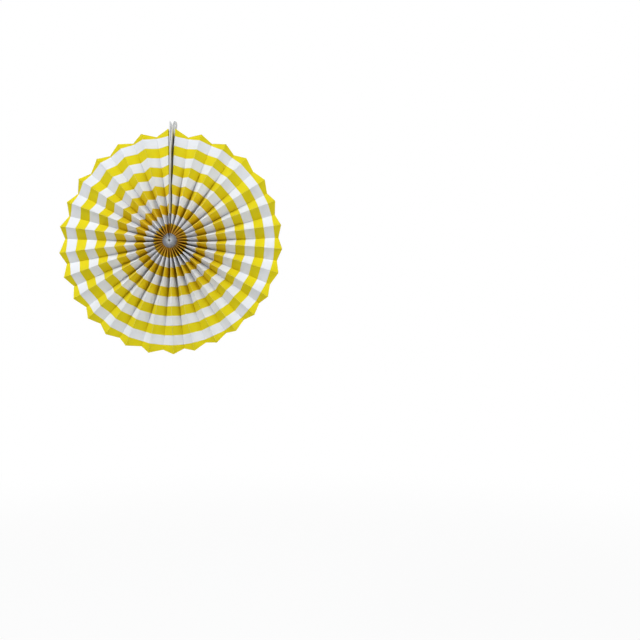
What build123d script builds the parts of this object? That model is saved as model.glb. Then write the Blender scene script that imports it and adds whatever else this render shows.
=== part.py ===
"""Hanging paper rosette: one accordion-pleated strip opened into a full circle.

The strip's two end pleats are glued to white cards that meet at 12 o'clock and are joined by double-sided tape.
A thread through the pleats ties their inner ends round a small eye, and the rosette hangs from a hole through both
cards. X is to the right, Y to the back and Z up, in millimetres, with the origin on the axis of that hole, in the
seam plane.
"""

import os
from math import asin, atan, cos, degrees, pi, radians, sin, sqrt, tan

from build123d import *

# Pleated strip
tip_radius = 200.0  # to the points of the rim, on the front folds
notch_depth = 8.0  # from there in to the notches of the rim, on the back folds
cut_drift = 3.4  # how far the rim is cut out of true, outwards on one side and inwards on the other
drift_way = 165.0  # clockwise from 12 o'clock, in degrees, to the side where it is cut outwards
pleat_width = 25.0  # from a front fold to the next back fold, the same all along the strip
rim_opening = 0.9  # share of its width that a pleat spans at the rim
paper_thickness = 0.2
eye_slack = 1.2  # room round the eye for the inner ends of the pleats, as a share of their own thickness
seam_slit = 0.05  # from the seam plane to an end pleat at the eye

# Lie of the folds, in degrees
right_gap = 2.7  # from the seam plane to the first front fold
left_gap = 1.15  # and to the last one
slip = 4.4  # how far the pleats on each side have slid down towards the bottom
slip_lean = 15.0  # how far round from the sides the slip is greatest

# End cards
card_thickness = 0.8
card_inset = 0.5  # each side, from the width of a pleat
card_corner = 10.0
tab_reach = 16.0  # past the points of the rim
card_margin = 2.0  # from where the end pleats leave room for the cards to the cards' inner ends
early_edge = 0.6  # share of the way to that place, at which the paper's free edges already lie in the cards' planes
parted_length = 50.0  # down from the rim, where the cards are not taped together
right_curl = 7.0  # from the seam plane, how far the free end of each card has bent away
left_curl = 1.0
right_twist = 8.5  # of each card's free end, in degrees, its back edge away from the seam plane
left_twist = 0.0
bend_steps = 12  # along the bent and twisted part
glue_line = 0.03  # between card and paper

# Seam tape
tape_thickness = 0.2
tape_width = 18.0
tape_margin = 4.0  # from the cards' inner ends

# Hanging hole and centre thread
hole_inset = 7.0  # from the cards' outer ends
hang_hole_radius = 2.0
thread_radius = 0.4
thread_sides = 8  # of its section, drawn with flats
thread_clearance = 0.2
thread_hole_sides = 6  # of the hole that it takes through the pleats
thread_margin = 3.8  # from the eye to the middle of the thread

# Steps along a fold, closer together near the eye, where the folds crowd
fold_steps = 14
fold_crowding = 1.8

# Sizes that follow from those above
slanted_pleats = 2 * round(pi * tip_radius / (pleat_width * rim_opening))
notch_radius = tip_radius - notch_depth
eye_radius = eye_slack * (slanted_pleats + 2) * paper_thickness / (2 * pi)
slit_angle = degrees(asin(seam_slit / eye_radius))
card_face = tape_thickness / 2 + card_thickness
paper_face = card_face + glue_line
card_room = paper_face / sin(radians(min(left_gap, right_gap)))
edge_room = early_edge * card_room
card_start = card_room + card_margin
card_end = tip_radius + tab_reach
card_width = pleat_width - 2 * card_inset
corner_radius = min(card_corner, card_width / 2 - card_inset)
curl_start = tip_radius - parted_length
hang_radius = card_end - hole_inset
thread_ring_radius = eye_radius + thread_margin


def fold_angle(index, radius):
    """Clockwise angle of a fold from 12 o'clock, in degrees. A fold runs straight, a hair beside the radius."""
    part_way = index / slanted_pleats
    slid = slip * (sin(2 * pi * part_way + radians(slip_lean)) - sin(radians(slip_lean)))
    at_rim = right_gap + (360 - right_gap - left_gap) * part_way + slid
    at_eye = slit_angle + (360 - 2 * slit_angle) * part_way
    return at_rim + (at_eye - at_rim) * eye_radius / radius


def spacing(index, radius):
    """Angle between neighbouring folds, in radians."""
    return radians(fold_angle(index + 1, radius) - fold_angle(index - 1, radius)) / 2


def depth_at(index, radius):
    """Depth from the front folds to the back folds, which falls as the pleats open."""
    across = 2 * radius * sin(spacing(index, radius) / 2)
    return sqrt(pleat_width**2 - across**2)


def mitre(across, depth):
    """Depth that the slanted paper takes up at a fold, for its true thickness square to the pleat."""
    steepness = (across / paper_thickness) ** 2 - 1
    return (sqrt(depth**2 + steepness * (across**2 + depth**2)) - depth) / steepness


def cut_radius(index):
    """Radius at which a fold ends. The end folds are cut at the full radius, and the others a little out of true."""
    if index in (0, slanted_pleats):
        return tip_radius
    round_cut = tip_radius if index % 2 == 0 else notch_radius
    return round_cut + cut_drift * cos(2 * pi * index / slanted_pleats - radians(drift_way))


def radii(end_radius):
    """Radii of the steps along a fold, from the eye to the rim."""
    shares = [(step / fold_steps) ** fold_crowding for step in range(fold_steps + 1)]
    return [eye_radius + (end_radius - eye_radius) * share for share in shares]


def fold(index):
    """Lines of the paper's front and back faces along a fold. Even folds are at the front."""
    at_front = index % 2 == 0
    front, back = [], []
    for radius in radii(cut_radius(index)):
        angle = radians(fold_angle(index, radius))
        depth = depth_at(index, radius)
        thick = mitre(radius * spacing(index, radius), depth)
        outside = -depth / 2 if at_front else depth / 2
        inside = outside + thick if at_front else outside - thick
        x, z = radius * sin(angle), radius * cos(angle)
        front.append(Vector(x, outside if at_front else inside, z))
        back.append(Vector(x, inside if at_front else outside, z))
    return front, back


def bend(past_start, curl):
    """How far a card has bent away from the seam plane, at a height past the start of its bend."""
    radius = (card_end - curl_start) ** 2 / (2 * curl)
    return radius - sqrt(radius**2 - past_start**2)


def slope(past_start, end_twist):
    """Sideways slope across a card's width, from its twist."""
    return tan(radians(end_twist)) * (past_start / (card_end - curl_start)) ** 2


# The cards lean back, so that their front edges stay flush with the front folds
rim_depth = depth_at(0, tip_radius)
lean = degrees(atan((card_width - rim_depth) / 2 / tip_radius))


def face_of_card(y, z, curl, end_twist):
    """Distance of a card's paper side from the seam plane, with its glue, at a place beside the card."""
    if z < edge_room:
        return seam_slit + (paper_face - seam_slit) * (z - eye_radius) / (edge_room - eye_radius)
    across = y * cos(radians(lean)) - z * sin(radians(lean))
    past_start = max(0.0, y * sin(radians(lean)) + z * cos(radians(lean)) - curl_start)
    return paper_face + bend(past_start, curl) + slope(past_start, end_twist) * across


def free_edge(last_fold, side, curl, end_twist):
    """Front and back line of the paper's end, which is glued to the back part of a card."""
    front, back = [], []
    for at_fold, z in zip(last_fold, radii(notch_radius)):
        x = face_of_card(at_fold.Y + pleat_width, z, curl, end_twist)
        y = at_fold.Y + sqrt(pleat_width**2 - (side * at_fold.X - x) ** 2)
        front.append(Vector(side * x, y, z))
        back.append(Vector(side * (x + paper_thickness), y, z))
    return front, back


def with_room(end_fold, next_fold):
    """Inner line of an end fold, moved along the next pleat by the thickness of the end pleat."""
    moved = []
    for here, there in zip(end_fold, next_fold):
        across = sqrt((there.X - here.X) ** 2 + (there.Z - here.Z) ** 2)
        moved.append(here + (there - here) * (paper_thickness / across))
    return moved


def patch(a, b, c, d):
    """Four-cornered piece of a twisted surface, as two flat triangles."""
    return [Face(Wire.make_polygon([a, b, c])), Face(Wire.make_polygon([a, c, d]))]


def strip(one, two):
    """Surface between two lines, creased from each point of the first to the next point of the second."""
    faces = []
    for a, b, c, d in zip(one, two, two[1:], one[1:]):
        faces += patch(a, b, c, d)
    return faces


def pleat(one, two):
    """Both faces of a pleat between two folds, with its cut ends at the eye and at the rim."""
    ends = []
    for end in (0, -1):
        ends += patch(one[0][end], two[0][end], two[1][end], one[1][end])
    return strip(one[0], two[0]) + strip(one[1], two[1]) + ends


def thread_ring(radius, sides):
    section = RegularPolygon(radius, sides, major_radius=False)
    return revolve(Pos(thread_ring_radius, 0) * section, Axis.Y)


def make_pleated_paper():
    folds = [fold(index) for index in range(slanted_pleats + 1)]
    first, last = folds[0], folds[-1]
    folds[0] = first[0], with_room(first[1], folds[1][1])
    folds[-1] = last[0], with_room(last[1], folds[-2][1])
    right_end = free_edge(first[0], 1, right_curl, right_twist)
    left_end = free_edge(last[0], -1, left_curl, left_twist)

    faces = pleat(folds[0], right_end) + pleat(folds[-1], left_end)
    for index, (one, two) in enumerate(zip(folds, folds[1:])):
        front_fold_first = index % 2 == 0
        faces += pleat(one, two) if front_fold_first else pleat(two, one)
    for front, back in (right_end, left_end):
        faces += strip(front, back)
    paper = Solid(Shell(faces))
    return paper - thread_ring(thread_radius + thread_clearance, thread_hole_sides)


def card_line(y, distance, side, curl, end_twist):
    """Line up one edge of a card's face, at a distance from the seam plane before it bends."""
    bent = [(card_end - curl_start) * step / bend_steps for step in range(bend_steps + 1)]
    line = [Vector(side * distance, y, card_start)]
    for past_start in bent:
        x = distance + bend(past_start, curl) + slope(past_start, end_twist) * y
        line.append(Vector(side * x, y, curl_start + past_start))
    return line


def make_card(side, curl, end_twist):
    """Strip of card whose free end bends away from the seam plane, twists a little and is rounded."""
    half, near = card_width / 2, tape_thickness / 2
    corners = (-half, near), (-half, card_face), (half, near), (half, card_face)
    front_near, front_far, back_near, back_far = [card_line(*corner, side, curl, end_twist) for corner in corners]
    faces = strip(front_near, front_far) + strip(back_near, back_far)
    faces += strip(front_near, back_near) + strip(front_far, back_far)
    for end in (0, -1):
        faces += patch(front_near[end], front_far[end], back_far[end], back_near[end])

    length = card_end - card_start
    outline = Pos(0, card_start + length / 2) * Rectangle(card_width, length)
    outline = fillet(outline.vertices().group_by(Axis.Y)[-1], corner_radius)
    card = Solid(Shell(faces)) & extrude(Plane.YZ * outline, card_end, both=True)
    return card - Pos(0, 0, hang_radius) * Rot(0, 90, 0) * Cylinder(hang_hole_radius, 2 * card_end)


def make_tape():
    start = card_start + tape_margin
    length = curl_start - start
    return Pos(0, 0, start + length / 2) * Box(tape_thickness, tape_width, length)


leaned = Rot(-lean, 0, 0)
hole_to_origin = Pos(0, -hang_radius * sin(radians(lean)), -hang_radius * cos(radians(lean)))
nodes = {
    "pleated_paper": make_pleated_paper(),
    "end_card_right": leaned * make_card(1, right_curl, right_twist),
    "end_card_left": leaned * make_card(-1, left_curl, left_twist),
    "seam_tape": leaned * make_tape(),
    "centre_thread": thread_ring(thread_radius, thread_sides),
}

os.makedirs("parts", exist_ok=True)
for name, shape in nodes.items():
    export_step(hole_to_origin * shape, f"parts/{name}.step")
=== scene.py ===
from math import cos, pi, radians, sin
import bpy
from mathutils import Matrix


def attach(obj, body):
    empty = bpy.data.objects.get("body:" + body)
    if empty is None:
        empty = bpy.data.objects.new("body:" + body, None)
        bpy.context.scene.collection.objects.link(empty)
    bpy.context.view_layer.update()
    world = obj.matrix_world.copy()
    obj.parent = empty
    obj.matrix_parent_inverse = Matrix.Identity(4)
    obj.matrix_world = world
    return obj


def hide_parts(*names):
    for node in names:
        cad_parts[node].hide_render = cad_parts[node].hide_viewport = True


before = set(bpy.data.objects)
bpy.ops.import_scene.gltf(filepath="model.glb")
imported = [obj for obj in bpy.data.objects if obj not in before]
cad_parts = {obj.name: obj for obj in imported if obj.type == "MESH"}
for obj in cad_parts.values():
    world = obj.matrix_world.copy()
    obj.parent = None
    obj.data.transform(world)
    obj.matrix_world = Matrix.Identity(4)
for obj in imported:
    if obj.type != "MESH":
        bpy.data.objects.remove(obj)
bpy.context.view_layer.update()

from types import SimpleNamespace

import bpy
from mathutils import Vector

scene = bpy.context.scene
print("frame loaded:", sorted(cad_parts))


class Wire:
    # one output of a node, that can be used in sums; without a socket it only stands for its tree
    def __init__(self, tree, socket=None):
        self.tree = tree
        self.socket = socket

    def node(self, kind, settings={}, inputs={}, output=0):
        made = self.tree.nodes.new(kind)
        for name, value in settings.items():
            setattr(made, name, value)
        ways = [socket for socket in made.inputs if socket.enabled]
        for name, value in inputs.items():
            way = ways[name] if isinstance(name, int) else next(s for s in ways if s.name == name)
            if isinstance(value, Wire):
                self.tree.links.new(value.socket, way)
            else:
                way.default_value = value
        ends = [socket for socket in made.outputs if socket.enabled]
        return Wire(self.tree, ends[output] if ends else None)

    def sibling(self, name):
        return Wire(self.tree, self.socket.node.outputs[name])

    def math(self, operation, *values):
        return self.node("ShaderNodeMath", {"operation": operation}, dict(enumerate(values)))

    def vector(self, operation, *values):
        return self.node("ShaderNodeVectorMath", {"operation": operation}, dict(enumerate(values)))

    def mix(self, other, factor, kind="FLOAT"):
        return self.node("ShaderNodeMix", {"data_type": kind}, {"Factor": factor, "A": self, "B": other})

    def colour(self, factor, under, over, kind="MIX"):
        return self.node("ShaderNodeMix", {"data_type": "RGBA", "blend_type": kind},
                         {"Factor": factor, "A": under, "B": over})

    def grey(self):
        return self.node("ShaderNodeCombineColor", {}, {0: self, 1: self, 2: self})

    def noise(self, scale, detail, roughness=0.5):
        return self.node("ShaderNodeTexNoise", {"noise_dimensions": "3D"},
                         {"Vector": self, "Scale": scale, "Detail": detail, "Roughness": roughness})

    def chance(self, low, high, seed):
        drawn = {"Min": low, "Max": high, "ID": self.math("ROUND", self), "Seed": seed}
        return self.node("FunctionNodeRandomValue", {"data_type": "FLOAT"}, drawn)

    def point(self, x, y, z):
        return self.node("ShaderNodeCombineXYZ", {}, {0: x, 1: y, 2: z})

    def axis(self, name):
        return self.node("ShaderNodeSeparateXYZ", {}, {0: self}).sibling(name)

    def scaled(self, factor):
        return self.node("ShaderNodeVectorMath", {"operation": "SCALE"}, {"Vector": self, "Scale": factor})

    def plus(self, other):
        return self.vector("ADD", self, other)

    def minus(self, other):
        return self.vector("SUBTRACT", self, other)

    def fromFront(self):
        return self.vector("MULTIPLY", self, (1, 0, 1))

    def size(self):
        return self.vector("LENGTH", self)

    def direction(self):
        return self.vector("NORMALIZE", self)

    def smooth(self, low, high):
        return self.node("ShaderNodeMapRange", {"interpolation_type": "SMOOTHSTEP"},
                         {"Value": self, "From Min": low, "From Max": high})

    def hump(self, riseStart, riseEnd, fallStart, fallEnd):
        return self.smooth(riseStart, riseEnd) * (1 - self.smooth(fallStart, fallEnd))

    def clamped(self):
        return self.node("ShaderNodeClamp", {}, {0: self})

    def atLeast(self, low):
        return self.math("MAXIMUM", self, low)

    def atMost(self, high):
        return self.math("MINIMUM", self, high)

    def sine(self):
        return self.math("SINE", self)

    def cosine(self):
        return self.math("COSINE", self)

    def root(self):
        return self.math("SQRT", self)

    def __add__(self, other):
        return self.math("ADD", self, other)

    def __radd__(self, other):
        return self.math("ADD", other, self)

    def __sub__(self, other):
        return self.math("SUBTRACT", self, other)

    def __rsub__(self, other):
        return self.math("SUBTRACT", other, self)

    def __mul__(self, other):
        return self.math("MULTIPLY", self, other)

    def __rmul__(self, other):
        return self.math("MULTIPLY", other, self)

    def __truediv__(self, other):
        return self.math("DIVIDE", self, other)

    def __rtruediv__(self, other):
        return self.math("DIVIDE", other, self)

    def __pow__(self, other):
        return self.math("POWER", self, other)

    def __gt__(self, other):
        return self.math("GREATER_THAN", self, other)

    def __lt__(self, other):
        return self.math("LESS_THAN", self, other)

    def __abs__(self):
        return self.math("ABSOLUTE", self)


camera = {
    "lens": 41.08,
    "place": (0.2669, -1.3122, -0.4014),
    "shift": 0.0453,      # the photograph is cut so that its middle lies above the rosette's level
    "nearest": 0.05,
    "furthest": 40,
}
view = bpy.data.objects.new("camera", bpy.data.cameras.new("camera"))
scene.collection.objects.link(view)
view.data.sensor_width = 36
view.data.lens = camera["lens"]
view.data.shift_y = camera["shift"]
view.data.clip_start = camera["nearest"]
view.data.clip_end = camera["furthest"]
view.location = camera["place"]
view.rotation_euler = (pi / 2, 0, 0)
scene.camera = view
print("camera placed")


# Paper and thread are in millimetres and radians, up to the last step of their trees. Numbers in pairs are
# distances from the eye: something comes in between the first two, and fades again between the next two.
pleatedPaper = {
    "tipRadius": 200.0,
    "notchDepth": 8.0,
    "cutDrift": 3.4,      # the rim is cut a little out of true
    "driftWay": radians(165),
    "pleatWidth": 25.0,
    "paperThickness": 0.2,
    "eyeRadius": 2.215,
    "slantedPleats": 56.0,      # without the two end pleats that are glued to the cards
    "rightGap": radians(2.7),
    "leftGap": radians(1.15),
    "slip": radians(4.4),
    "slipLean": radians(15),
    "slit": 0.05,
    "rightCurl": 7.0,
    "leftCurl": 1.0,
    "rightTwist": radians(8.5),
    "curlStart": 150.0,
    "cardEnd": 216.0,
    "paperFace": 0.93,
    "meetGap": 0.15,      # from the seam plane to each free end of the strip, where the two ends meet
    "meetSpan": (26, 47),      # they do so up to here, and then part until they lie on the cards
    "furthestBack": 21.07,      # of those ends, at the rim
    "crowding": 1.8,
    "foldCrown": 0.35,      # outer radius of a fold
    "hubCrown": 0.15,      # and how much more it has round the eye
    "crownSpan": (25, 65),
    "packing": 0.49,      # the most that this radius takes of a fold's room
    "foldShare": 0.015,      # share of a pleat's width that goes round a fold
    "stepsAlong": 30,
    "stepsRoundFold": 3,
    "stepsOnFlat": 6,
    "unevenLie": radians(0.9),      # how far a fold may lie from its rule at the rim
    "unevenDepth": 0.03,
    "unevenCut": 0.8,
    "quietFolds": 150.0,      # with a larger number more folds beside the seam keep closer to the rule
    "flatCut": 3.8,      # the rim is cut flatter towards 5 o'clock
    "flatWay": radians(148),
    "flatSpan": radians(46),
    "proudCut": 3.0,      # and stands proud towards 2 o'clock
    "proudWay": radians(43),
    "proudSpan": radians(38),
    "lowCut": 1.5,      # and a little low towards 10 o'clock
    "lowWay": radians(297),
    "lowSpan": radians(34),
    "shallowNotch": 1.8,      # its notches are less deep towards 7 o'clock
    "shallowWay": radians(213),
    "shallowSpan": radians(34),
    "bow": 0.5,
    "bowSpan": (30, 170),
    "quietPleats": 100.0,      # with a larger number more pleats beside the seam bow less
    "spring": 0.16,      # slope that a pleat gains beside its folds, which want to stay shut
    "springShare": 0.35,
    "puff": 0.09,      # how far crowded pleats bulge apart behind their ridges, as a share of their spacing
    "puffSpan": (18, 32, 45, 95),
    "foldsRight": 3.0,      # how many folds right of the seam are moved, each less than the one before
    "foldsLeft": 2.0,      # and how many left of it
    "seamBulge": 1.05,      # of the fold right of the seam, halfway to the rim
    "bulgeSpan": (95, 130, 140, 195),
    "seamParting": 0.8,      # of the folds right of the seam, near the eye
    "partingSpan": (8, 40, 55, 100),
    "seamOpening": 1.5,      # and how much further the first of them stands off from its card
    "openingSpan": (8, 30, 72, 102),
    "leftClosing": 0.7,      # of the fold left of the seam towards its card, at the rim
    "closingSpan": (50, 90),
    "dish": 3.5,      # how far the folds lie back beside the hub
    "dishSpan": (3, 34),
    "dome": 2.5,      # and how far the hub is domed
    "domeSpan": (0, 16),
    "levelSpan": (50, 130),      # where both are lost again
    "seed": 4,
}
hangRadius = 209.0      # from the eye up to the hanging hole
lean = radians(2.3535)      # of the cards, towards the back
eyeInFrame = (0, -hangRadius * sin(lean), -hangRadius * cos(lean))
millimetre = 0.001
perMetre = 1000


def numbersIn(sizes):
    return {label: value for label, value in sizes.items() if not isinstance(value, tuple)}


def startTree(name, sizes, places, results):
    tree = bpy.data.node_groups.new(name, "GeometryNodeTree")
    for label, value in {**numbersIn(sizes), **places}.items():
        kind = "NodeSocketInt" if isinstance(value, int) else "NodeSocketFloat"
        tree.interface.new_socket(label, in_out="INPUT", socket_type=kind).default_value = value
    for label, kind in results.items():
        tree.interface.new_socket(label, in_out="OUTPUT", socket_type="NodeSocket" + kind)
    entry = tree.nodes.new("NodeGroupInput")
    wires = {socket.name: Wire(tree, socket) for socket in entry.outputs if socket.name}
    return tree, SimpleNamespace(**wires)


def endTree(tree, results):
    ending = tree.nodes.new("NodeGroupOutput")
    for label, wire in results.items():
        tree.links.new(wire.socket, ending.inputs[label])


def endWithMaterial(tree, piece, material):
    piece = piece.node("GeometryNodeRealizeInstances", {}, {"Geometry": piece})
    piece = piece.node("GeometryNodeSetMaterial", {}, {"Geometry": piece, "Material": material})
    endTree(tree, {"Geometry": piece})


def settle(name, tree, sizes):
    # runs the tree once and keeps what it makes as a plain mesh
    piece = bpy.data.objects.new(name, bpy.data.meshes.new(name))
    scene.collection.objects.link(piece)
    maker = piece.modifiers.new(name, "NODES")
    maker.node_group = tree
    for item in tree.interface.items_tree:
        if item.in_out == "INPUT" and item.name in sizes:
            maker[item.identifier] = sizes[item.name]
    graph = bpy.context.evaluated_depsgraph_get()
    made = bpy.data.meshes.new_from_object(piece.evaluated_get(graph), depsgraph=graph)
    piece.modifiers.clear()
    piece.data = made
    made.name = name
    print(name, "made with", len(made.polygons), "faces")
    return piece


def drawFold():
    # the place of a point of the paper on one fold; folds -1 and 57 are the strip's free ends
    spans = SimpleNamespace(**pleatedPaper)
    tree, s = startTree("fold line", pleatedPaper, {"number": 0.0, "share": 0.0, "layer": 0.0},
                        {"point": "Vector", "along": "Float", "crown": "Float"})
    near = s.number.atLeast(0).atMost(s.slantedPleats)
    turn = 2 * pi * near / s.slantedPleats
    parity = near.math("FLOORED_MODULO", near, 2)      # 0 on a front fold, 1 on a back fold

    def quiet(number):
        return ((number - 1) * (s.slantedPleats - 1 - number) / s.quietFolds).clamped()

    def towards(way, span):
        return (1 - abs(turn - way) / span).smooth(0, 1)

    def angleOf(number, radius):
        partWay = number / s.slantedPleats
        slid = s.slip * ((2 * pi * partWay + s.slipLean).sine() - s.slipLean.sine())
        atRim = s.rightGap + (2 * pi - s.rightGap - s.leftGap) * partWay + slid
        atRim = atRim + quiet(number) * s.unevenLie * number.chance(-1, 1, s.seed)
        slitAngle = s.slit.math("ARCSINE", s.slit / s.eyeRadius)
        atEye = slitAngle + (2 * pi - 2 * slitAngle) * partWay
        return atRim + (atEye - atRim) * s.eyeRadius / radius

    # how far out the fold is cut
    ownDepth = s.notchDepth - s.shallowNotch * towards(s.shallowWay, s.shallowSpan)
    ownCut = s.tipRadius - ownDepth * parity + s.cutDrift * (turn - s.driftWay).cosine()
    ownCut = ownCut - s.flatCut * towards(s.flatWay, s.flatSpan) - s.lowCut * towards(s.lowWay, s.lowSpan)
    ownCut = ownCut + s.proudCut * towards(s.proudWay, s.proudSpan)
    ownCut = ownCut - quiet(near) * s.unevenCut * near.chance(0, 1, s.seed + 1)
    endFold = abs(near - s.slantedPleats / 2) > s.slantedPleats / 2 - 0.5
    cut = ownCut.mix(s.tipRadius, endFold)

    # where folds crowd, they reach further back and the slanted paper takes up more depth
    reach = s.share ** s.crowding
    radius = s.eyeRadius + (cut - s.eyeRadius) * reach
    angle = angleOf(near, radius)
    spacing = (angleOf(near + 1, radius) - angleOf(near - 1, radius)) / 2
    chord = 2 * radius * (spacing / 2).sine()
    depth = (s.pleatWidth * s.pleatWidth - chord * chord).root()
    depth = depth * (1 - quiet(near) * s.unevenDepth * near.chance(0, 1, s.seed + 2))
    arc = radius * spacing
    steepness = (arc / s.paperThickness) ** 2 - 1
    mitre = ((depth * depth + steepness * (arc * arc + depth * depth)).root() - depth) / steepness
    thick = s.paperThickness.mix(mitre, endFold)

    # beside the seam a few folds are moved sideways, and round the hub all folds lie back
    rightOfSeam = (1 - near / s.foldsRight).atLeast(0)
    leftOfSeam = (1 - (s.slantedPleats - near) / s.foldsLeft).atLeast(0)
    parting = s.seamParting * radius.hump(*spans.partingSpan)
    bulge = s.seamBulge * radius.hump(*spans.bulgeSpan)
    opening = s.seamOpening * radius.hump(*spans.openingSpan) * (1 - near).atLeast(0)
    closing = s.leftClosing * radius.smooth(*spans.closingSpan)
    lyingBack = s.dish * radius.smooth(*spans.dishSpan) + s.dome * radius.smooth(*spans.domeSpan)
    lyingBack = lyingBack * (1 - radius.smooth(*spans.levelSpan))
    x = radius * angle.sine() + rightOfSeam * (bulge + parting) + opening + leftOfSeam * closing
    y = (parity - 0.5) * depth + thick * (s.layer - parity) + lyingBack * quiet(near)
    z = radius * angle.cosine()

    # the outer side of a fold is round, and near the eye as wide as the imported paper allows
    inner = abs(s.layer - parity)
    wideCrown = s.foldCrown + s.hubCrown * (1 - radius.smooth(*spans.crownSpan))
    outerCrown = wideCrown.atMost((arc + s.paperThickness) * s.packing)
    crown = (outerCrown - s.paperThickness * inner).atLeast(0) * (1 - endFold)

    # the end pleats' free edges lie along the cards
    past = s.number > s.slantedPleats
    outside = abs(s.number - near) > 0.5
    side = 1 - 2 * past
    height = s.eyeRadius + (s.tipRadius - s.notchDepth - s.eyeRadius) * reach
    frontY = depth * -0.5
    length = s.cardEnd - s.curlStart
    bend = length * length / (2 * s.rightCurl.mix(s.leftCurl, past))
    backY = frontY + s.pleatWidth
    pastStart = (backY * sin(lean) + height * cos(lean) - s.curlStart).atLeast(0)
    twist = s.rightTwist.math("TANGENT", s.rightTwist) * (1 - past) * (pastStart / length) ** 2
    onCard = s.paperFace + bend - (bend * bend - pastStart * pastStart).root()
    onCard = onCard + twist * (backY * cos(lean) - height * sin(lean))
    face = s.meetGap.mix(onCard, height.smooth(*spans.meetSpan))
    slant = side * x - face
    freeY = (frontY + (s.pleatWidth * s.pleatWidth - slant * slant).root()).atMost(s.furthestBack)
    freeX = side * (face + s.paperThickness * s.layer)

    point = x.point(x, y, z).mix(x.point(freeX, freeY, height), outside, "VECTOR")
    endTree(tree, {"point": point, "along": radius.mix(height, outside), "crown": crown})
    return tree


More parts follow.
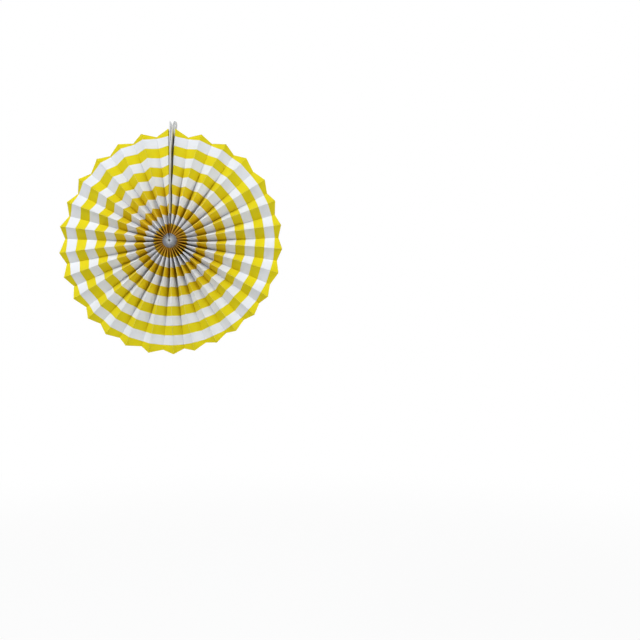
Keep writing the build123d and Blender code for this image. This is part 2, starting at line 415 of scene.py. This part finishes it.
def drawPaper(material):
    foldLine = drawFold()
    tree, s = startTree("pleated paper", pleatedPaper, {}, {"Geometry": "Geometry"})
    wire = s.tipRadius
    pleats = s.slantedPleats + 2
    stepsAcross = s.stepsRoundFold * 2 + s.stepsOnFlat
    columns = pleats * stepsAcross + 2
    rows = s.stepsAlong * 2 + 2
    grid = wire.node("GeometryNodeMeshGrid", {}, {"Size X": columns, "Size Y": rows,
                                                 "Vertices X": columns + 1, "Vertices Y": rows + 1})
    place = wire.node("GeometryNodeInputPosition")
    column = place.axis("X") + columns / 2
    row = place.axis("Y") + rows / 2

    # rows run up the front side, down the back side and close on the first one
    cap = abs(column - columns / 2) > columns / 2 - 0.5
    isBack = (row > s.stepsAlong + 0.5) * (row < s.stepsAlong * 2 + 1.5)
    layer = isBack.mix(0.5, cap)
    share = (row / s.stepsAlong).atMost((s.stepsAlong * 2 + 1 - row) / s.stepsAlong).clamped()
    strip = (column - 1).atLeast(0).atMost(columns - 2) / stepsAcross
    pleat = strip.math("FLOOR", strip + 0.001).atMost(pleats - 1)
    step = (strip - pleat) * stepsAcross
    leaving = (step / s.stepsRoundFold).clamped()
    arriving = ((stepsAcross - step) / s.stepsRoundFold).clamped()
    onFlat = ((step - s.stepsRoundFold) / s.stepsOnFlat).smooth(0, 1).smooth(0, 1)
    part = s.foldShare * (leaving + 1 - arriving) + (1 - 2 * s.foldShare) * onFlat

    def foldAt(number, side):
        sizes = {label: getattr(s, label) for label in numbersIn(pleatedPaper)}
        return wire.node("GeometryNodeGroup", {"node_tree": foldLine},
                         {**sizes, "number": number, "share": share, "layer": side})

    one, two = foldAt(pleat - 1, layer), foldAt(pleat, layer)
    inner = foldAt((s.slantedPleats - 1).mix(1, pleat < pleats / 2), 1.0)

    def withRoom(fold, number):
        # the inner line of an end fold makes room for the thickness of the end pleat
        along = inner.minus(fold)
        ends = (abs(number) < 0.5) + (abs(number - s.slantedPleats) < 0.5)
        return fold.plus(along.scaled(ends * (layer > 0.75) * s.paperThickness / along.fromFront().size()))

    start, finish = withRoom(one, pleat - 1), withRoom(two, pleat)
    crownOne, crownTwo = one.sibling("crown"), two.sibling("crown")
    along = one.sibling("along").mix(two.sibling("along"), part)

    # a pleat is flat between the two round folds that it touches
    across = finish.minus(start)
    width = across.fromFront().size()
    sideways = across.fromFront().direction()
    towardsBack = across.axis("Y")
    backOrFront = towardsBack.math("SIGN", towardsBack)
    inwards = wire.point(0, backOrFront, 0)
    crowns = crownOne + crownTwo
    deep = abs(towardsBack) - crowns
    turned = -1 * crowns / (deep * deep + width * width).root()
    tilt = turned.math("ARCCOSINE", turned) - width.math("ARCTAN2", width, deep)

    def roundFold(corner, crown, turn, way):
        aside = sideways.scaled(crown * turn.sine() * way)
        down = inwards.scaled(crown * (1 - turn.cosine()) * way)
        return corner.plus(aside).plus(down)

    leave = roundFold(start, crownOne, tilt * leaving, 1)
    arrive = roundFold(finish, crownTwo, tilt * arriving, -1)
    point = leave.mix(arrive, onFlat, "VECTOR")

    # beside its folds a pleat is steeper than in its middle
    steepen = (s.springShare * width / abs(towardsBack)).atMost(s.spring)
    steeper = sideways.scaled(-1 * abs(towardsBack)).plus(inwards.scaled(width))
    swing = steepen * onFlat * (1 - onFlat) * (1 - 2 * onFlat)
    point = point.plus(steeper.scaled(swing))

    # round the eye the pleats bulge apart behind their ridges and leave a narrow valley
    fromRidge = onFlat.mix(1 - onFlat, towardsBack < 0)
    bulging = fromRidge * (1 - fromRidge) ** 2 * (27 / 4)      # 1 where it is highest
    between = (pleat > 0.5) * (pleat < pleats - 1.5)
    bulging = bulging * between * along.hump(*pleatedPaper["puffSpan"]) * s.puff * width / s.pleatWidth
    point = point.plus(steeper.scaled(-1 * bulging * backOrFront))

    # pleats bow a little out of flat, more towards the rim
    outwards = start.plus(finish).fromFront()
    normal = wire.vector("CROSS_PRODUCT", across, outwards).direction()
    inside = (pleat * (pleats - 1 - pleat) / s.quietPleats).clamped()
    lift = s.bow * pleat.chance(-1, 1, s.seed + 7) * inside
    lift = lift * along.smooth(*pleatedPaper["bowSpan"]) * (onFlat * pi).sine()
    point = point.plus(normal.scaled(lift)).plus(eyeInFrame).scaled(millimetre)

    # the print follows the flat strip; the cut edges and the back side are told apart
    atRim = abs(row - s.stepsAlong - 0.5) < 0.4
    atEye = row > s.stepsAlong * 2 + 1.1
    atEnds = abs(column - columns / 2) > columns / 2 - 0.9
    told = {
        "UVMap": ("FLOAT2", "CORNER", wire.point((pleat + part) * s.pleatWidth, along, 0).scaled(millimetre)),
        "cutEdge": ("FLOAT", "FACE", (atRim + atEye + atEnds).clamped()),
        "backSide": ("FLOAT", "CORNER", isBack),
    }
    sheet = grid
    for label, (kind, domain, value) in told.items():
        sheet = wire.node("GeometryNodeStoreNamedAttribute", {"data_type": kind, "domain": domain},
                          {"Geometry": sheet, "Name": label, "Value": value})
    sheet = wire.node("GeometryNodeSetPosition", {}, {"Geometry": sheet, "Position": point})
    sheet = wire.node("GeometryNodeMergeByDistance", {}, {"Geometry": sheet, "Distance": 1e-6})
    sheet = wire.node("GeometryNodeSetShadeSmooth", {"domain": "FACE"},
                      {"Geometry": sheet, "Shade Smooth": True})
    stored = wire.node("GeometryNodeInputNamedAttribute", {"data_type": "FLOAT"}, {"Name": "cutEdge"})
    sharp = (stored > 0.1) * (stored < 0.9)
    sheet = wire.node("GeometryNodeSetShadeSmooth", {"domain": "EDGE"},
                      {"Geometry": sheet, "Selection": sharp, "Shade Smooth": False})
    endWithMaterial(tree, sheet, material)
    return tree


def newMaterial(name):
    material = bpy.data.materials.new(name)
    material.use_nodes = True
    material.node_tree.nodes.clear()
    return material, Wire(material.node_tree)


def finishMaterial(wire, constants, colour, roughness, height, strength):
    bump = wire.node("ShaderNodeBump", {}, {"Strength": strength, "Distance": millimetre, "Height": height})
    links = {"Base Color": colour, "Roughness": roughness, "Normal": bump}
    shader = wire.node("ShaderNodeBsdfPrincipled", {}, {**constants, **links})
    wire.node("ShaderNodeOutputMaterial", {}, {"Surface": shader})


def onPiece(wire):
    return wire.node("ShaderNodeTexCoord").sibling("Object").scaled(perMetre)


# Patterns of noise state how fine and how detailed they are, and how rough where that isn't 0.5
printedPaper = {
    "white": (0.80, 0.81, 0.845, 1),
    "yellow": (0.755, 0.64, 0.006, 1),
    "deepYellow": (0.765, 0.505, 0.004, 1),      # painted shade, a darker and more orange yellow where the pleats crowd round the eye
    "deepSpan": (20, 150),
    "hubYellow": (0.66, 0.345, 0.03, 1),      # painted shade, darker and more orange still in the innermost stripe
    "hubSpan": (17, 34),
    "core": (0.79, 0.79, 0.78, 1),      # unprinted paper at its cut edges and worn folds
    "firstStripe": 12.8,      # from the eye
    "stripe": 17.3,
    "inkBlur": 0.12,
    "slowPattern": (0.08, 2),
    "slowWander": 0.5,      # of a stripe's edge
    "quickPattern": (3, 1),
    "quickWander": 0.25,
    "fineCover": (0.9, 3),
    "broadCover": (0.05, 2),
    "broadShare": 0.4,
    "thinInk": 0.1,      # how much of the darker yellow goes by how thin the ink lies; the rest of it is painted shade near the eye
    "wornPattern": (1.6, 3, 0.7),
    "wornSpan": (30, 70),
    "foldWear": 0.3,      # half the width of the worn line on a ridge
    "foldBare": 0.7,
    "edgeBare": 0.8,
    "creaseShade": (0.05, 0.028, 0.03, 1),      # painted shade at the bottom of a valley, where little light reaches
    "creaseSpan": (11, 18),
    "creaseStrength": 0.95,
    "creaseFading": 0.71,      # what it loses of that towards the rim
    "fadingSpan": (35, 150),
    "creaseWidth": 0.9,
    "nearCrease": 3.7,      # how much wider it is nearer to the eye
    "nearSpan": (10, 70),
    "hubCrease": 22.2,      # and beside the hub
    "hubCreaseSpan": (22, 40),
    "hubShade": 0.47,      # round the edge of the white hub
    "hubMiddle": 0.37,      # share of that in its middle
    "hubShadeSpan": (3, 10.5),
    "hubEndSpan": (12.8, 14),
    "brightness": 0.965,
    "fibres": (5, 4, 0.65),
    "fibreShade": 0.05,
    "fibreHeight": 0.012,
    "patches": (0.4, 3),
    "patchShade": 0.03,
    "dents": (0.22, 3),
    "dentHeight": 0.10,
    "grain": (1.3, 2),
    "grainHeight": 0.02,
    "bump": 0.7,
    "roughness": 0.72,
    "fibreRoughness": 0.16,
    "inkSmoothness": 0.05,
    "shine": 0.2,
}


def makePrintedPaper():
    look = SimpleNamespace(**printedPaper)
    material, wire = newMaterial("printed paper")
    onSheet = wire.node("ShaderNodeUVMap", {"uv_map": "UVMap"}).scaled(perMetre)
    across, along = onSheet.axis("X"), onSheet.axis("Y")

    # stripes with the slight wander and blur of printed ink
    wander = (onSheet.noise(*look.slowPattern) - 0.5) * look.slowWander
    wander = wander + (onSheet.noise(*look.quickPattern) - 0.5) * look.quickWander
    turn = (along + wander - look.firstStripe) * (pi / look.stripe)
    sharpness = look.stripe / (pi * look.inkBlur) / 2
    ink = (turn.sine() * sharpness + 0.5).clamped()

    # even folds are ridges on the front side and valleys on the back side
    pleatWidth = pleatedPaper["pleatWidth"]
    ofPair = across / (2 * pleatWidth)
    toRidge = abs(ofPair.math("FRACT", ofPair) - 0.5) * (2 * pleatWidth)
    isBack = wire.node("ShaderNodeAttribute", {"attribute_name": "backSide"}, output=2)
    toRidge = toRidge.mix(pleatWidth - toRidge, isBack)
    toValley = pleatWidth - toRidge

    # the ink lies a little thinner in places, and the yellow is painted darker and more orange near the eye
    # as shade of the crowded pleats
    fineCover = onSheet.noise(*look.fineCover).smooth(0.25, 0.75)
    broadCover = onSheet.noise(*look.broadCover).smooth(0.3, 0.7)
    cover = fineCover.mix(broadCover, look.broadShare)
    deep = (1 - along.smooth(*look.deepSpan)).mix(1 - cover, look.thinInk)
    yellow = wire.colour(deep, look.yellow, look.deepYellow)
    yellow = wire.colour(1 - along.smooth(*look.hubSpan), yellow, look.hubYellow)
    colour = wire.colour(ink, look.white, yellow)

    # paler broken line where the ink has cracked along a ridge
    broken = onSheet.noise(*look.wornPattern).smooth(0.42, 0.62) * along.smooth(*look.wornSpan)
    cracked = (1 - toRidge.smooth(0, look.foldWear)) * broken
    edge = wire.node("ShaderNodeAttribute", {"attribute_name": "cutEdge"}, output=2)
    bare = (cracked * look.foldBare).atLeast(edge * look.edgeBare)
    colour = wire.colour(bare, colour, look.core)

    # painted shade along each valley, wide and dark beside the hub where the pleats crowd, narrower and
    # fainter towards the rim
    shadeWidth = look.creaseWidth + look.nearCrease * (1 - along.smooth(*look.nearSpan))
    shadeWidth = shadeWidth + look.hubCrease * (1 - along.smooth(*look.hubCreaseSpan))
    strength = look.creaseStrength - look.creaseFading * along.smooth(*look.fadingSpan)
    strength = strength * along.smooth(*look.creaseSpan)
    valleyShade = (1 - (toValley / shadeWidth).smooth(0, 1)) * strength
    shaded = wire.colour(1.0, colour, look.creaseShade, "MULTIPLY")
    colour = wire.colour(valleyShade, colour, shaded)

    # shade round the white hub, and fibres and dents all over
    hubEdge = look.hubMiddle + (1 - look.hubMiddle) * along.smooth(*look.hubShadeSpan)
    hubEdge = hubEdge * (1 - along.smooth(*look.hubEndSpan))
    fibres = onSheet.noise(*look.fibres)
    shade = look.brightness + fibres * look.fibreShade
    shade = shade + (onSheet.noise(*look.patches) - 0.5) * look.patchShade
    shade = shade * (1 - look.hubShade * hubEdge)
    colour = wire.colour(1.0, colour, shade.grey(), "MULTIPLY")
    roughness = look.roughness + fibres * look.fibreRoughness - ink * look.inkSmoothness
    height = fibres * look.fibreHeight + onSheet.noise(*look.dents) * look.dentHeight
    height = height + onSheet.noise(*look.grain) * look.grainHeight
    finishMaterial(wire, {"Specular IOR Level": look.shine}, colour, roughness, height, look.bump)
    return material


paperSheet = settle("pleatedPaperSheet", drawPaper(makePrintedPaper()), pleatedPaper)
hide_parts("pleated_paper")
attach(paperSheet, "root")


# End cards and seam tape keep their solids
cardStock = {
    "white": (0.84, 0.84, 0.83, 1),
    "raw": (0.62, 0.6, 0.56, 1),      # where the board was cut
    "rawShare": 0.8,
    "cutFacing": (0.3, 0.8),      # how far a cut edge and a face of the board look along X
    "plies": (1, 3),
    "plyScale": (9, 0.4, 0.4),      # finer across the board than along it
    "plyHeight": 0.08,
    "brightness": 0.95,
    "fibres": (2.2, 5, 0.65),
    "fibreShade": 0.08,
    "fibreHeight": 0.02,
    "bump": 0.6,
    "roughness": 0.78,
    "fibreRoughness": 0.14,
    "shine": 0.35,
}
foamTape = {
    "shaded": (0.8, 0.78, 0.68, 1),
    "pale": (0.87, 0.86, 0.8, 1),
    "cells": (3, 4),
    "cellHeight": 0.05,
    "bump": 0.5,
    "roughness": 0.5,
    "cellRoughness": 0.2,
}


def makeCardStock():
    look = SimpleNamespace(**cardStock)
    material, wire = newMaterial("card stock")
    place = onPiece(wire)
    fibres = place.noise(*look.fibres)
    plies = wire.node("ShaderNodeMapping", {}, {"Vector": place, "Scale": look.plyScale}).noise(*look.plies)
    facing = wire.node("ShaderNodeNewGeometry").sibling("Normal").axis("X")
    cut = 1 - abs(facing).smooth(*look.cutFacing)
    raw = wire.colour(plies, look.raw, look.white)
    colour = wire.colour(cut * look.rawShare, look.white, raw)
    shade = look.brightness + fibres * look.fibreShade
    colour = wire.colour(1.0, colour, shade.grey(), "MULTIPLY")
    roughness = look.roughness + fibres * look.fibreRoughness
    height = fibres * look.fibreHeight + plies * cut * look.plyHeight
    finishMaterial(wire, {"Specular IOR Level": look.shine}, colour, roughness, height, look.bump)
    return material


def makeFoamTape():
    look = SimpleNamespace(**foamTape)
    material, wire = newMaterial("foam tape")
    cells = onPiece(wire).noise(*look.cells)
    colour = wire.colour(cells, look.shaded, look.pale)
    roughness = look.roughness + cells * look.cellRoughness
    finishMaterial(wire, {}, colour, roughness, cells * look.cellHeight, look.bump)
    return material


cardLook = makeCardStock()
for name in ("end_card_left", "end_card_right"):
    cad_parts[name].material_slots[0].material = cardLook
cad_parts["seam_tape"].material_slots[0].material = makeFoamTape()
print("cards and tape finished")


# Thread through the pleats, two plies twisted together
centreThread = {
    "ringRadius": 6.015,
    "plyRadius": 0.2,
    "plyOffset": 0.19,
    "twists": 30.0,
    "steps": 360,
    "stepsRound": 8,
}
cottonThread = {
    "shaded": (0.78, 0.77, 0.72, 1),
    "pale": (0.9, 0.89, 0.86, 1),
    "fibres": (9, 3),
    "fibreHeight": 0.04,
    "bump": 0.7,
    "roughness": 0.85,
    "sheen": 0.2,
}


def drawThread(material):
    tree, s = startTree("twisted thread", centreThread, {}, {"Geometry": "Geometry"})
    wire = s.ringRadius
    circle = wire.node("GeometryNodeCurvePrimitiveCircle", {},
                       {"Resolution": s.steps, "Radius": s.ringRadius})
    section = wire.node("GeometryNodeCurvePrimitiveCircle", {},
                        {"Resolution": s.stepsRound, "Radius": s.plyRadius * millimetre})
    angle = wire.node("GeometryNodeSplineParameter") * (2 * pi)
    both = tree.nodes.new("GeometryNodeJoinGeometry")
    for startTurn in (0, pi):
        turn = angle * s.twists + startTurn
        out = s.ringRadius + s.plyOffset * turn.cosine()
        point = wire.point(out * angle.sine(), s.plyOffset * turn.sine(), out * angle.cosine())
        point = point.plus(eyeInFrame).scaled(millimetre)
        path = wire.node("GeometryNodeSetPosition", {}, {"Geometry": circle, "Position": point})
        ply = wire.node("GeometryNodeCurveToMesh", {}, {"Curve": path, "Profile Curve": section})
        tree.links.new(ply.socket, both.inputs[0])
    joined = Wire(tree, both.outputs[0])
    joined = wire.node("GeometryNodeSetShadeSmooth", {"domain": "FACE"},
                       {"Geometry": joined, "Shade Smooth": True})
    endWithMaterial(tree, joined, material)
    return tree


def makeCottonThread():
    look = SimpleNamespace(**cottonThread)
    material, wire = newMaterial("cotton thread")
    fibres = onPiece(wire).noise(*look.fibres)
    colour = wire.colour(fibres, look.shaded, look.pale)
    finishMaterial(wire, {"Sheen Weight": look.sheen}, colour, look.roughness, fibres * look.fibreHeight,
                   look.bump)
    return material


thread = settle("centreThreadPlies", drawThread(makeCottonThread()), centreThread)
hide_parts("centre_thread")
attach(thread, "root")


# Pale floor, white surroundings and soft lamps, most of them in front
studio = {
    "white": (1, 1, 1, 1),
    "surroundings": 0.04,
    "floorLevel": -1.25,
    "floorReach": 5.0,
    "floorColour": (0.85, 0.85, 0.85, 1),
    "floorWhiteness": 0.93,      # below the rosette; further off it rises to 1, to fade into the surroundings
    "floorFading": (1, 4),
    "distance": 2.2,      # from the middle of the rosette to each lamp
    "lampSize": 0.9,
    "lampColour": (0.95, 0.975, 1.0),
    # each lamp's angle from straight ahead, its place on the clock in degrees, and its power
    "lamps": {
        "upper left": (45, 320, 32.4),
        "upper right": (45, 40, 6.2),
        "right front": (45, 80, 10.5),
        "right": (65, 72, 9.1),
        "far upper left": (65, 324, 3.0),
        "far left": (65, 288, 2.9),
        "behind": (150, 20, 22.0),
        "left behind": (125, 285, 10.0),
    },
}


def whiteForViewer(wire):
    rays = wire.node("ShaderNodeLightPath")
    seen = rays.sibling("Is Camera Ray") + rays.sibling("Is Glossy Ray") + rays.sibling("Is Transmission Ray")
    return seen.clamped()


def makeSurroundings():
    world = bpy.data.worlds.new("white surroundings")
    world.use_nodes = True
    world.node_tree.nodes.clear()
    wire = Wire(world.node_tree)
    lighting = wire.node("ShaderNodeBackground", {},
                         {"Color": studio["white"], "Strength": studio["surroundings"]})
    shown = wire.node("ShaderNodeBackground", {}, {"Color": studio["white"], "Strength": 1.0})
    both = wire.node("ShaderNodeMixShader", {}, {0: whiteForViewer(wire), 1: lighting, 2: shown})
    wire.node("ShaderNodeOutputWorld", {}, {"Surface": both})
    return world


def makeFloorLook():
    material, wire = newMaterial("pale floor")
    matte = wire.node("ShaderNodeBsdfDiffuse", {}, {"Color": studio["floorColour"]})
    shown = wire.node("ShaderNodeEmission", {}, {"Color": studio["white"], "Strength": 1.0})
    away = wire.vector("MULTIPLY", wire.node("ShaderNodeTexCoord").sibling("Object"), (1, 1, 0))
    farOff = away.size().smooth(*studio["floorFading"])
    whiteness = studio["floorWhiteness"] + (1 - studio["floorWhiteness"]) * farOff
    both = wire.node("ShaderNodeMixShader", {}, {0: whiteForViewer(wire) * whiteness, 1: matte, 2: shown})
    wire.node("ShaderNodeOutputMaterial", {}, {"Surface": both})
    return material


def layFloor():
    reach, level = studio["floorReach"], studio["floorLevel"]
    corners = [(-reach, -reach, level), (reach, -reach, level), (reach, reach, level), (-reach, reach, level)]
    mesh = bpy.data.meshes.new("floor")
    mesh.from_pydata(corners, [], [(0, 1, 2, 3)])
    mesh.materials.append(makeFloorLook())
    floor = bpy.data.objects.new("floor", mesh)
    scene.collection.objects.link(floor)
    return floor


def hangLamp(name, aside, clock, power):
    light = bpy.data.lights.new(name, "AREA")
    light.shape = "DISK"
    light.size = studio["lampSize"]
    light.energy = power
    light.color = studio["lampColour"]
    way = Vector((sin(aside) * sin(clock), -cos(aside), sin(aside) * cos(clock)))
    lamp = bpy.data.objects.new(name, light)
    lamp.location = Vector(eyeInFrame) * millimetre + way * studio["distance"]
    lamp.rotation_euler = (-way).to_track_quat("-Z", "Y").to_euler()
    scene.collection.objects.link(lamp)


scene.world = makeSurroundings()
floor = layFloor()
for name, (aside, clock, power) in studio["lamps"].items():
    hangLamp(name, radians(aside), radians(clock), power)
scene.view_settings.view_transform = "Standard"
print("studio lit")
